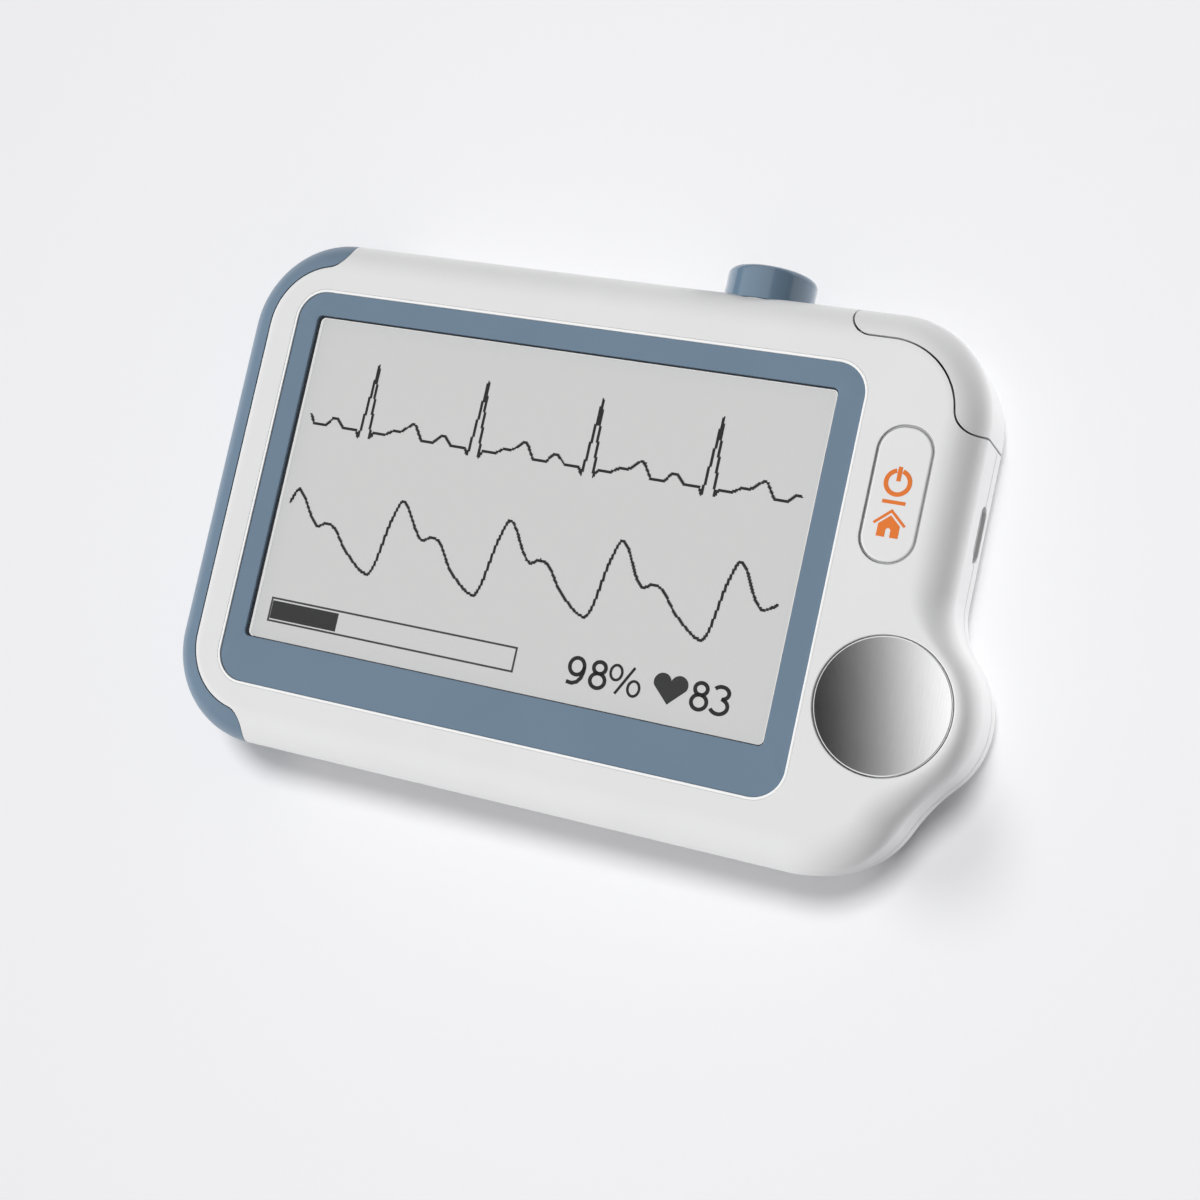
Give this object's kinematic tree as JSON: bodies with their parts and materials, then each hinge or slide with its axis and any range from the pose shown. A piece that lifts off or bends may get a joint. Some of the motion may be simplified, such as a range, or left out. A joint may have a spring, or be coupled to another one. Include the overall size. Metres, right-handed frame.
{
  "type": "ecg home monitor",
  "caption": "Handheld heart monitor: landscape screen in a grey-blue frame, long push button, round thumb electrode on a lobe, hinged finger-clip corner, capped thermometer.",
  "frame": {"origin": "middle of the flat back, under the centre of the case's overall length and width", "axes": "+X right along the case's long side as the screen is read, towards the thumb lobe; +Y up the screen, towards the thermometer; +Z out of the screen"},
  "size_m": [0.088, 0.0592, 0.013],
  "materials": {
    "front_shell": "fine matte",
    "rear_shell": "fine matte",
    "side_trim": "fine matte",
    "side_electrode": "brushed",
    "display_bezel": "fine matte",
    "touch_panel": "smooth",
    "lcd_module": "smooth",
    "display_foam": "matte",
    "display_frame": "fine matte",
    "display_ribbon": "fine matte",
    "main_board": "fine matte",
    "processor_chip": "fine matte",
    "memory_chip": "fine matte",
    "ecg_amplifier_chip": "fine matte",
    "radio_shield": "brushed",
    "ribbon_socket": "fine matte",
    "battery": "satin foil",
    "battery_plug": "fine matte",
    "speaker": "fine matte",
    "thumb_electrode": "brushed",
    "back_electrode": "brushed",
    "thumb_contact": "plated",
    "back_contact": "plated",
    "side_contact": "plated",
    "home_button": "fine matte",
    "button_switch": "fine matte",
    "switch_plunger": "matte",
    "charging_socket": "brushed",
    "socket_tongue": "fine matte",
    "thermometer_nozzle": "fine matte",
    "nozzle_seal": "matte",
    "infrared_sensor": "brushed",
    "infrared_lens": "smooth",
    "sensor_board": "fine matte",
    "thermometer_cap": "smooth gloss",
    "sensor_cover": "fine matte",
    "cover_spring": "brushed",
    "emitter_window": "smooth",
    "emitter_led": "plated",
    "hinge_pin": "brushed",
    "finger_bed": "matte",
    "detector_window": "smooth",
    "photodiode": "fine matte",
    "case_screw_1": "brushed",
    "case_screw_2": "brushed",
    "case_screw_3": "brushed",
    "case_screw_4": "brushed",
    "case_screw_5": "brushed",
    "board_screw_1": "brushed",
    "board_screw_2": "brushed",
    "board_screw_3": "brushed",
    "board_screw_4": "brushed",
    "frame_screw_1": "brushed",
    "frame_screw_2": "brushed",
    "frame_screw_3": "brushed",
    "frame_screw_4": "brushed"
  },
  "bodies": {
    "housing": {"front_shell": "front_shell", "rear_shell": "rear_shell", "side_trim": "side_trim", "side_electrode": "side_electrode", "display_bezel": "display_bezel", "touch_panel": "touch_panel", "lcd_module": "lcd_module", "display_foam": "display_foam", "display_frame": "display_frame", "display_ribbon": "display_ribbon", "main_board": "main_board", "processor_chip": "processor_chip", "memory_chip": "memory_chip", "ecg_amplifier_chip": "ecg_amplifier_chip", "radio_shield": "radio_shield", "ribbon_socket": "ribbon_socket", "battery": "battery", "battery_plug": "battery_plug", "speaker": "speaker", "thumb_electrode": "thumb_electrode", "back_electrode": "back_electrode", "thumb_contact": "thumb_contact", "back_contact": "back_contact", "side_contact": "side_contact", "button_switch": "button_switch", "charging_socket": "charging_socket", "socket_tongue": "socket_tongue", "thermometer_nozzle": "thermometer_nozzle", "nozzle_seal": "nozzle_seal", "infrared_sensor": "infrared_sensor", "infrared_lens": "infrared_lens", "sensor_board": "sensor_board", "hinge_pin": "hinge_pin", "finger_bed": "finger_bed", "detector_window": "detector_window", "photodiode": "photodiode", "case_screw_1": "case_screw_1", "case_screw_2": "case_screw_2", "case_screw_3": "case_screw_3", "case_screw_4": "case_screw_4", "case_screw_5": "case_screw_5", "board_screw_1": "board_screw_1", "board_screw_2": "board_screw_2", "board_screw_3": "board_screw_3", "board_screw_4": "board_screw_4", "frame_screw_1": "frame_screw_1", "frame_screw_2": "frame_screw_2", "frame_screw_3": "frame_screw_3", "frame_screw_4": "frame_screw_4"},
    "button": {"home_button": "home_button"},
    "plunger": {"switch_plunger": "switch_plunger"},
    "finger_clip": {"sensor_cover": "sensor_cover", "cover_spring": "cover_spring", "emitter_window": "emitter_window", "emitter_led": "emitter_led"},
    "cap": {"thermometer_cap": "thermometer_cap"}
  },
  "joints": [
    {"name": "home_button_press", "type": "slide", "parent": "housing", "child": "button", "axis": [0, 0, -1], "range_m": [0, 0.00035], "stiffness_N_per_m": 500, "springref_m": -0.0003},
    {"name": "switch_plunger_press", "type": "slide", "parent": "housing", "child": "plunger", "axis": [0, 0, -1], "range_m": [0, 0.0004]},
    {"name": "sensor_cover_swing", "type": "hinge", "parent": "housing", "child": "finger_clip", "pos_m": [0.0263, 0.02715, 0.0065], "axis": [0, 0, 1], "range_deg": [0, 40], "stiffness_Nm_per_rad": 0.01, "springref_deg": -17.19},
    {"name": "thermometer_cap_pull", "type": "slide", "parent": "housing", "child": "cap", "axis": [0, 1, 0], "range_m": [0, 0.008]}
  ],
  "couplings": [
    {"joint": "switch_plunger_press", "follows": "home_button_press", "ratio": 1}
  ]
}
